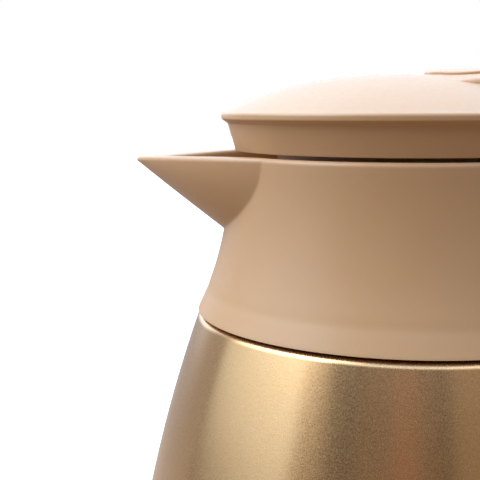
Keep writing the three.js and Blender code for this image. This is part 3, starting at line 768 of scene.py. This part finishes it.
def plate_top(x, y):
    """The lever's upper surface: crowned like the dome in front, flat halfway, dished for the thumb."""
    crest = RIM_Z + 10.3 + 0.022 * (x - 8.0) - 0.028 * np.maximum(8.5 - x, 0.0) ** 2
    edge_fall = np.clip(1.60 - 0.066 * (x - 10.5), -1.25, 1.7)
    return crest - edge_fall * (y / LEVER_HALF) ** 2


def tail_top(x, y):
    """The lid's raised tail round the lever, which meets the dome in a soft hump ahead of the lever."""
    shoulder = np.maximum(np.abs(y) - LEVER_HALF, 0.0)
    return plate_top(x, np.clip(y, -LEVER_HALF - 2, LEVER_HALF + 2)) - PROUD - 0.026 * shoulder ** 2


def held_within(outline, radius):
    """An outline with the points beyond a circle drawn in to it."""
    reach = np.maximum(np.hypot(outline[:, 0], outline[:, 1]), 1.0)
    return outline * np.minimum(1.0, radius / reach)[:, None]


def buried(x, y):
    """A surface 1 mm under the dome's."""
    return dome_z(np.minimum(np.hypot(x, y), LID_R - 0.9)) - 1.0


def lid_tail():
    """The raised tail. Its outline follows the rim behind and narrows to a round hump in front."""
    rear_r = LID_R - 0.35
    nose, side_end = -3.0, 8.0
    corner = math.atan2(TAIL_HALF, math.sqrt(rear_r ** 2 - TAIL_HALF ** 2))
    turns = np.linspace(-corner, corner, 40)
    rear = rear_r * np.column_stack([np.cos(turns), np.sin(turns)])
    front = bezier((side_end, TAIL_HALF), (-1.0, TAIL_HALF), (nose, 14.0), (nose, 0.0), 24)
    plan = np.vstack([
        rear, straight(rear[-1], (side_end, TAIL_HALF), 24)[1:], front, [(nose, 0.0)],
        front[1:][::-1] * [1, -1], straight((side_end, -TAIL_HALF), rear[0], 24),
    ])
    centre = np.array([20.0, 0.0])
    edge = 0.9
    foot = held_within(inset(plan, -TAIL_FLARE), rear_r)
    rings = [laid_on(buried, shrink(foot, centre, share)) for share in (0.04, 0.3, 0.6, 0.85, 1.0)]
    for turn in np.linspace(0.0, math.pi / 2, 6):
        ring = laid_on(tail_top, inset(plan, edge * (1 - math.cos(turn))), edge * (1 - math.sin(turn)))
        ring[:, 2] = np.maximum(ring[:, 2], buried(ring[:, 0], ring[:, 1]) + 0.05)
        rings.append(ring)
    for share in np.linspace(1.0, 0.04, 26)[1:]:
        rings.append(laid_on(tail_top, shrink(inset(plan, edge), centre, share)))
    return stacked("tail", rings)


def lever_well(name, outline_of, low):
    """A cutter from a height up through the tail, with a gap round the lever and a chamfered edge."""
    gap, chamfer, clear = 0.5, 0.3, 1.6
    rings = [laid_on(lambda x, y: low + 0 * x, outline_of(gap))]
    wide = clear + chamfer
    for grow, drop in ((gap, chamfer), (gap + chamfer, 0.0), (wide, -1.3), (wide, -8.0)):
        rings.append(laid_on(tail_top, outline_of(grow), drop))
    return stacked(name, rings)


def pin_bore():
    return cross_rod("bore", PIN_R + 0.3, 12.0, PIVOT.x, PIVOT.z, 0.0)


def lid_cover():
    dome = [(r, dome_z(r)) for r in spaced(LID_R - 1.7, 0.0, 40)]
    under = [(r, dome_z(r) - LID_WALL) for r in spaced(0.0, INNER_RIM_R, 24)]
    corners = [
        (SKIRT_R, SKIRT_LOW, 0.2), (44.05, RIM_Z - 3.5, 1.0), (44.35, RIM_Z - 2.5, 0.5),
        (LID_R, RIM_Z - 1.4, 0.5), (LID_R, RIM_Z - 0.02, 0.9), *dome, *under, (42.1, RIM_Z - 3.8, 0.5),
        (SKIRT_R - LID_WALL, SKIRT_LOW, 0.3),
    ]
    lid = turned("lid_dome", corners, 256, 5)

    join(lid, lid_tail())
    # The lever's well goes through the dome inside the rim, and down to the rim's ledge outside it.
    cut(
        lid,
        lever_well("deep_well", lambda grow: held_within(lever_plan(grow), INNER_RIM_R), RIM_Z - 2.5),
        lever_well("rear_well", lever_plan, RIM_Z + 0.4),
    )
    fit(lid, "lid", "beige_plastic", BEIGE, "lid_cover")


def lever():
    edge, under_edge = 0.35, 0.6
    thick, thin, thinning_start, thinning_length = 3.0, 1.2, 36.0, 18.0
    plan = lever_plan(0.0)
    centre = np.array([26.0, 0.0])

    def underside(x, y):
        """The plate thins towards its rear, so that it clears the lid's rim when it is pressed."""
        thinning = np.clip((x - thinning_start) / thinning_length, 0.0, 1.0)
        return plate_top(x, y) - (thick - (thick - thin) * thinning)

    rings = [
        laid_on(underside, shrink(inset(plan, under_edge), centre, share)) for share in (0.05, 0.3, 0.6, 0.85)
    ]
    for turn in np.linspace(0.0, math.pi / 2, 5):
        outline = inset(plan, under_edge * (1 - math.sin(turn)))
        rings.append(laid_on(underside, outline, -under_edge * (1 - math.cos(turn))))
    for turn in np.linspace(0.0, math.pi / 2, 6):
        outline = inset(plan, edge * (1 - math.cos(turn)))
        rings.append(laid_on(plate_top, outline, edge * (1 - math.sin(turn))))
    for share in np.linspace(1.0, 0.05, 40)[1:]:
        rings.append(laid_on(plate_top, shrink(inset(plan, edge), centre, share)))
    plate = stacked("thumb_lever", rings)

    arm_low = STEM_HIGH.z + 0.3
    half = 5.0
    join(
        plate,
        rounded_block("web", (5.5, 0.2 - half, arm_low + 0.2), (14.2, half - 0.2, RIM_Z + 8.0), 0.6),
        rounded_block("arm", (PIVOT.x, 0.1 - half, arm_low), (14.0, half - 0.1, arm_low + 3.0), 0.5),
        cross_rod("hub", 2.9, half, PIVOT.x, PIVOT.z, 0.3),
    )
    cut(plate, pin_bore())
    fit(plate, "lever", "beige_plastic", BEIGE, "lever")


# ---- the stopper and its valve ----------------------------------------------------------------------------
STOPPER_R = 32.0
STOPPER_WALL = 2.0
THREAD_R = 35.2
FLANGE_TOP = RIM_Z - 7.2
FLANGE_LOW = FLANGE_TOP - 2.0
SPRING_SEAT = RIM_Z - 16.0
STEM_R = 2.5
STEM_SEAL = RIM_Z - 27.6


def lid_screws():
    """Three pan-head screws with a cross recess, driven up into the lid's bosses."""
    for name in LID_SCREWS:
        low, high = box_mm(name)
        head, shank = (high.x - low.x) / 2, 1.4
        neck = low.z + 1.0
        corners = [
            (0, low.z), (head, low.z + 0.05, 0.5), (head, neck, 0.1), (shank, neck), (shank, high.z - 0.8),
            (shank / 2, high.z), (0, high.z),
        ]
        screw = turned(name + "_pan_head", corners, 48, 3)
        for turn in (0.0, math.pi / 2):
            slot = rounded_block("slot", (-1.5, -0.3, low.z - 1.0), (1.5, 0.3, low.z + 0.6), 0.05)
            cut(screw, placed(slot, turn=turn))
        placed(screw, ((low.x + high.x) / 2, (low.y + high.y) / 2, 0))
        fit(screw, "lid", "bare_steel", BARE, name)


def lid_plate():
    """The plate that closes the lid from below: stem guide, spring well and the ears that carry the pin."""
    guide_r, well_r, bore = 8.8, 6.8, STEM_R + 0.4
    tube_r, seal_r = 6.4, 4.8
    spigot = STOPPER_R - STOPPER_WALL - 0.4
    spigot_low, tube_low, seal_top = FLANGE_LOW - 2.4, STEM_SEAL - 2.4, STEM_SEAL + 1.0
    corners = [
        (guide_r, SPRING_SEAT - 2, 0.4), (guide_r, FLANGE_LOW, 0.8), (spigot - 1.4, FLANGE_LOW, 0.4),
        (spigot - 1.4, spigot_low, 0.3), (spigot, spigot_low, 0.4), (spigot, FLANGE_LOW, 0.2),
        (BASE_HIGH.x, FLANGE_LOW, 0.5), (BASE_HIGH.x, FLANGE_TOP, 0.4), (well_r, FLANGE_TOP, 0.5),
        (well_r, SPRING_SEAT, 0.4), (bore, SPRING_SEAT, 0.2), (bore, seal_top), (seal_r, seal_top),
        (seal_r, tube_low), (tube_r, tube_low, 0.4), (tube_r, SPRING_SEAT - 2, 0.6),
    ]
    plate = turned("lid_screw_plate", corners, 160, 3)
    ear = 3.2
    for near, far in ((-8.4, -5.4), (5.4, 8.4)):
        ear_low, ear_high = (PIVOT.x - ear, near, FLANGE_LOW + 0.6), (PIVOT.x + ear, far, BASE_HIGH.z)
        join(plate, rounded_block("ear", ear_low, ear_high, 0.7))
    cut(plate, pin_bore())
    for name in LID_SCREWS:
        low, high = box_mm(name)
        x, y = (low.x + high.x) / 2, (low.y + high.y) / 2
        cut(
            plate,
            upright_rod("clearance", 1.8, FLANGE_LOW - 1, FLANGE_TOP + 1, x, y, 0.0),
            upright_rod("counterbore", 3.0, FLANGE_LOW - 1, FLANGE_TOP - 0.8, x, y, 0.0),
        )
    fit(plate, "lid", "inner_plastic", INNER_BEIGE, "lid_base")


def thread_lug(start, sweep, climb):
    """One lug of the quarter-turn thread: a rounded ridge that climbs round and thins at its ends."""
    root, least = STOPPER_R - 0.6, STOPPER_R - 0.4
    rings = []
    for share in np.linspace(0.0, 1.0, 41):
        angle = start + sweep * share
        taper = min(1.0, 8 * share, 8 * (1 - share)) ** 0.5
        reach = least + (THREAD_R - STOPPER_R + 0.4) * taper
        middle = RIM_Z - 32.3 + climb * share
        section = filleted([
            (root, middle - 1.5), (reach, middle - 0.8, 0.4), (reach, middle + 0.8, 0.4),
            (root, middle + 1.3),
        ], 3)
        rings.append([(r * math.cos(angle), r * math.sin(angle), z) for r, z in section])
    return stacked("lug", rings)


def stopper_tube():
    """The stopper's tube, with pouring windows, a groove for the lip seal and three thread lugs."""
    low, high = box_mm("stopper_tube")
    seal_low, seal_high = box_mm("stopper_gasket")
    band, groove, inner, seat = STOPPER_R + 1.4, STOPPER_R - 0.6, STOPPER_R - STOPPER_WALL, 20.0
    groove_low, groove_top = seal_low.z - 0.4, seal_high.z + 0.4
    floor_top = low.z + STOPPER_WALL
    corners = [
        (seat, low.z, 0.4), (band, low.z, 0.8), (band, groove_low, 0.2), (groove, groove_low),
        (groove, groove_top), (band, groove_top, 0.2), (band, RIM_Z - 39.6, 0.5),
        (STOPPER_R, RIM_Z - 39.2, 0.5), (STOPPER_R, high.z, 0.3), (inner, high.z, 0.3),
        (inner, floor_top, 1.2), (seat, floor_top, 0.4),
    ]
    tube = turned("stopper_tube_body", corners, 160, 3)
    third = 2 * math.pi / 3
    join(tube, *[thread_lug(i * third + 0.3, math.radians(72), 1.9) for i in range(3)])
    # Each cutter passes through the tube, so three of them open six windows.
    for turn in (0.0, math.pi / 3, third):
        window = rounded_block("window", (-40, -12, RIM_Z - 24), (40, 12, RIM_Z - 12), 1.8)
        cut(tube, placed(window, turn=turn))
    fit(tube, "lid", "inner_plastic", INNER_BEIGE, "stopper_tube")


def stopper_gasket():
    low, high = box_mm("stopper_gasket")
    r = high.x
    inner = 31.8
    corners = [
        (r - 1.0, low.z, 0.2), (r, low.z + 0.8, 0.3), (r - 0.8, low.z + 1.8, 0.4), (r, high.z - 0.8, 0.3),
        (r - 1.0, high.z, 0.2), (inner, high.z), (inner, low.z),
    ]
    fit(turned("stopper_lip_seal", corners, 128, 3), "stopper_seal", "silicone", SILICONE, "stopper_gasket")


def valve():
    tail, top, head = STEM_LOW.z, STEM_HIGH.z, STEM_HIGH.x
    head_low, head_top, neck = top - 1.8, top - 0.9, STEM_R - 0.6
    corners = [
        (0, tail), (neck, tail, 0.3), (neck, tail + 1.8), (STEM_R, tail + 2.0), (STEM_R, head_low, 0.4),
        (head, head_low, 0.2), (head, head_top, 0.3), (2.4, head_top, 0.3), (1.9, top, 0.5), (0, top),
    ]
    fit(turned("valve_push_stem", corners, 64, 3), "valve", "inner_plastic", INNER_BEIGE, "valve_stem")

    low, high = box_mm("valve_disc")
    bore, rim, plate = STEM_R + 0.3, RIM_Z - 52.2, RIM_Z - 49
    corners = [
        (bore, low.z, 0.2), (high.x, low.z, 0.5), (high.x, rim, 0.4), (18.6, rim, 0.2), (17.6, plate, 0.6),
        (8, plate, 1.2), (6, high.z, 0.4), (bore, high.z, 0.2),
    ]
    fit(turned("valve_plate", corners, 128, 3), "valve", "inner_plastic", INNER_BEIGE, "valve_disc")

    low, high = box_mm("valve_gasket")
    bore = 19.0
    corners = [
        (high.x, low.z, 0.3), (high.x, high.z, 0.5), (20.6, high.z, 0.4), (bore, RIM_Z - 51, 0.3),
        (bore, low.z, 0.2),
    ]
    fit(turned("valve_seat_seal", corners, 128, 3), "valve", "silicone", SILICONE, "valve_gasket")

    low, high = box_mm("stem_seal")
    bore = STEM_R + 0.3
    corners = [(high.x, low.z, 0.3), (high.x, high.z, 0.3), (bore, high.z, 0.3), (bore, low.z, 0.3)]
    fit(turned("stem_wiper_seal", corners, 64, 3), "lid", "silicone", SILICONE, "stem_seal")


def valve_spring():
    """The return spring, wound with a closed turn at each end. It is built at one length, though the real
    spring shortens as the valve opens.
    """
    low, high = box_mm("valve_spring")
    wire, turns, closed = 0.45, 7.0, 1.0
    coil = high.x - wire
    bottom, top = low.z + wire, high.z - wire
    end_rise = 2 * wire
    wound = [0.0, closed, turns - closed, turns]
    climb = [bottom, bottom + end_rise, top - end_rise, top]
    round_wire = np.linspace(0.0, 2 * math.pi, 13)[:-1]
    rings = []
    for turn in np.linspace(0.0, turns, 337):
        middle = np.interp(turn, wound, climb)
        angle = 2 * math.pi * turn
        section = [(coil + wire * math.cos(a), middle + wire * math.sin(a)) for a in round_wire]
        rings.append([(r * math.cos(angle), r * math.sin(angle), z) for r, z in section])
    spring = stacked("valve_return_spring", rings)
    fit(spring, "lid", "bare_steel", BARE, "valve_spring")
    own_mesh(spring)


# ---- CAD nodes that keep their own shape ------------------------------------------------------------------
def carried_over():
    steel = ("shell_bottom", "vacuum_seal", "handle_bracket", "handle_screw_top", "handle_screw_middle",
             "handle_screw_lower", "lever_pin", "stem_clip")
    for node in (*steel, "getter"):
        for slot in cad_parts[node].material_slots:
            slot.material = BARE if node in steel else SINTERED


# ---- studio -----------------------------------------------------------------------------------------------
def floor():
    """A plain pale disc, wide enough to reach the horizon. Its middle is closed to a point."""
    radius, level, columns = 6000.0, -0.3, 96
    shares = np.array([0.0, *np.linspace(0.02, 1.0, 12)])
    angles = np.linspace(0, 2 * math.pi, columns, endpoint=False)
    grid = np.full((len(shares), columns, 3), level)
    grid[..., 0] = radius * shares[:, None] * np.cos(angles)
    grid[..., 1] = radius * shares[:, None] * np.sin(angles)
    ground = grid_piece("floor", grid, wrap_rows=False)
    shader = Shader("floor")
    shader.drive("Base Color", shader.tones(shader.noise(3.0), (0.86, 0.86, 0.86), (0.90, 0.90, 0.90)))
    shader.set(Roughness=0.9)
    ground.data.materials.append(shader.material)
    # The floor takes the carafe's shadow, but throws no light back up at it.
    ground.visible_diffuse = False
    ground.visible_glossy = False


# The light tent, as panels on a sphere round the carafe. Each has its span in degrees round from the camera
# (positive to the camera's left), its span up from the horizon, the softness of its sides and of its ends,
# and its light.
TENT_BASE = (0.115, 0.090, 0.070)
ALL_ROUND = (-181, 181)
PANELS = [
    ((50, 105), (0, 28), (1, 5), (1.02, 1.28, 1.52)),           # large softbox on the left
    ((35, 50), (0, 28), (2, 8), (0.20, 0.19, 0.16)),            # its dimmer near edge
    ((44, 112), (28, 70), (6, 8), (4.50, 5.05, 5.50)),          # the bright bank above it
    ((-150, -24), (-4, 60), (2, 5), (0.22, 0.18, 0.14)),        # weak fill on the right
    ((-8, 4), (-20, 36), (1, 3), (0.20, 0.10, 0.06)),           # warm gap in front, and its two edges
    ((4, 20), (-20, 36), (1, 3), (0.09, 0.06, 0.04)),
    ((-17, -8), (-20, 36), (1, 3), (0.09, 0.06, 0.04)),
    ((107, 165), (-30, 60), (1, 3), (0.30, 0.33, 0.38)),        # grey surround behind on the left
    ((128, 232), (3, 70), (8, 8), (1.25, 1.62, 2.15)),          # backdrop
    (ALL_ROUND, (42, 120), (5, 10), (0.42, 0.74, 1.12)),        # overhead bank
    (ALL_ROUND, (42, 64), (5, 8), (0.45, 0.48, 0.55)),          # its brighter outer ring
    ((-110, 36), (46, 60), (8, 5), (1.30, 1.50, 1.70)),         # its front row
    (ALL_ROUND, (-120, -14), (5, 6), (0.27, 0.22, 0.18)),       # light back up from the table
]


def studio_sky():
    """The tent's light falls on everything, but the camera sees plain white past the floor."""
    world = bpy.data.worlds.new("tent")
    bpy.context.scene.world = world
    world.use_nodes = True
    tree = world.node_tree
    tree.nodes.clear()

    def node(kind, inputs=(), **settings):
        made = tree.nodes.new(kind)
        for key, value in settings.items():
            setattr(made, key, value)
        for socket, value in inputs:
            if isinstance(value, bpy.types.NodeSocket):
                tree.links.new(value, made.inputs[socket])
            else:
                made.inputs[socket].default_value = value
        return made

    def compute(operation, *values):
        return node("ShaderNodeMath", enumerate(values), operation=operation).outputs["Value"]

    def rise(value, edge, fade):
        ends = [("Value", value), ("From Min", edge - fade), ("From Max", edge + fade)]
        return node("ShaderNodeMapRange", ends, interpolation_type="SMOOTHSTEP").outputs["Result"]

    def window(value, span, fade):
        return compute("SUBTRACT", rise(value, span[0], fade), rise(value, span[1], fade))

    direction = node("ShaderNodeTexCoord").outputs["Generated"]
    x, y, z = node("ShaderNodeSeparateXYZ", [("Vector", direction)]).outputs
    turn = compute("ARCTAN2", compute("MULTIPLY", x, -1.0), compute("MULTIPLY", y, -1.0))
    around = compute("DEGREES", turn)
    behind = compute("MULTIPLY_ADD", compute("LESS_THAN", around, 0.0), 360.0, around)
    up = compute("DEGREES", compute("ARCSINE", z))

    light = node("ShaderNodeRGB").outputs["Color"]
    light.default_value = (*TENT_BASE, 1.0)
    for span, height, fades, colour in PANELS:
        # A span across the point straight behind is counted from 0 to 360 degrees, not from -180 to 180.
        angle = behind if span[1] > ALL_ROUND[1] else around
        mask = compute("MULTIPLY", window(angle, span, fades[0]), window(up, height, fades[1]))
        panel = [("Factor", mask), ("A", light), ("B", (*colour, 1.0))]
        light = node("ShaderNodeMix", panel, data_type="RGBA", blend_type="ADD").outputs["Result"]

    tent = node("ShaderNodeBackground", [("Color", light)])
    white = node("ShaderNodeBackground", [("Color", (1.0, 1.0, 1.0, 1.0))])
    from_camera = node("ShaderNodeLightPath").outputs["Is Camera Ray"]
    seen = node("ShaderNodeMixShader", [(0, from_camera), (1, tent.outputs[0]), (2, white.outputs[0])])
    node("ShaderNodeOutputWorld", [("Surface", seen.outputs[0])])


def camera():
    """Close to the carafe and just above the lid's rim, turned towards the spout and a little down."""
    lens_data = bpy.data.cameras.new("camera")
    lens_data.lens = 70.6
    lens_data.clip_start = 0.01
    eye = bpy.data.objects.new("camera", lens_data)
    bpy.context.collection.objects.link(eye)
    distance, above_rim = 238.0, 2.08
    yaw, pitch, roll = math.radians(10.03), math.radians(-8.21), math.radians(0.27)
    turn = Matrix.Rotation(yaw, 4, "Z") @ Matrix.Rotation(math.pi / 2 + pitch, 4, "X")
    turn = turn @ Matrix.Rotation(-roll, 4, "Z")
    eye.matrix_world = Matrix.Translation(Vector((0.0, -distance, RIM_Z + above_rim)) * MM) @ turn
    bpy.context.scene.camera = eye
    bpy.context.scene.view_settings.view_transform = "Standard"


camera()
studio_sky()
floor()
outer_shell()
inner_liner()
base_cup()
base_pad()
collar()
neck_parts()
handle()
lid_cover()
lever()
lid_screws()
lid_plate()
stopper_tube()
stopper_gasket()
valve()
valve_spring()
carried_over()
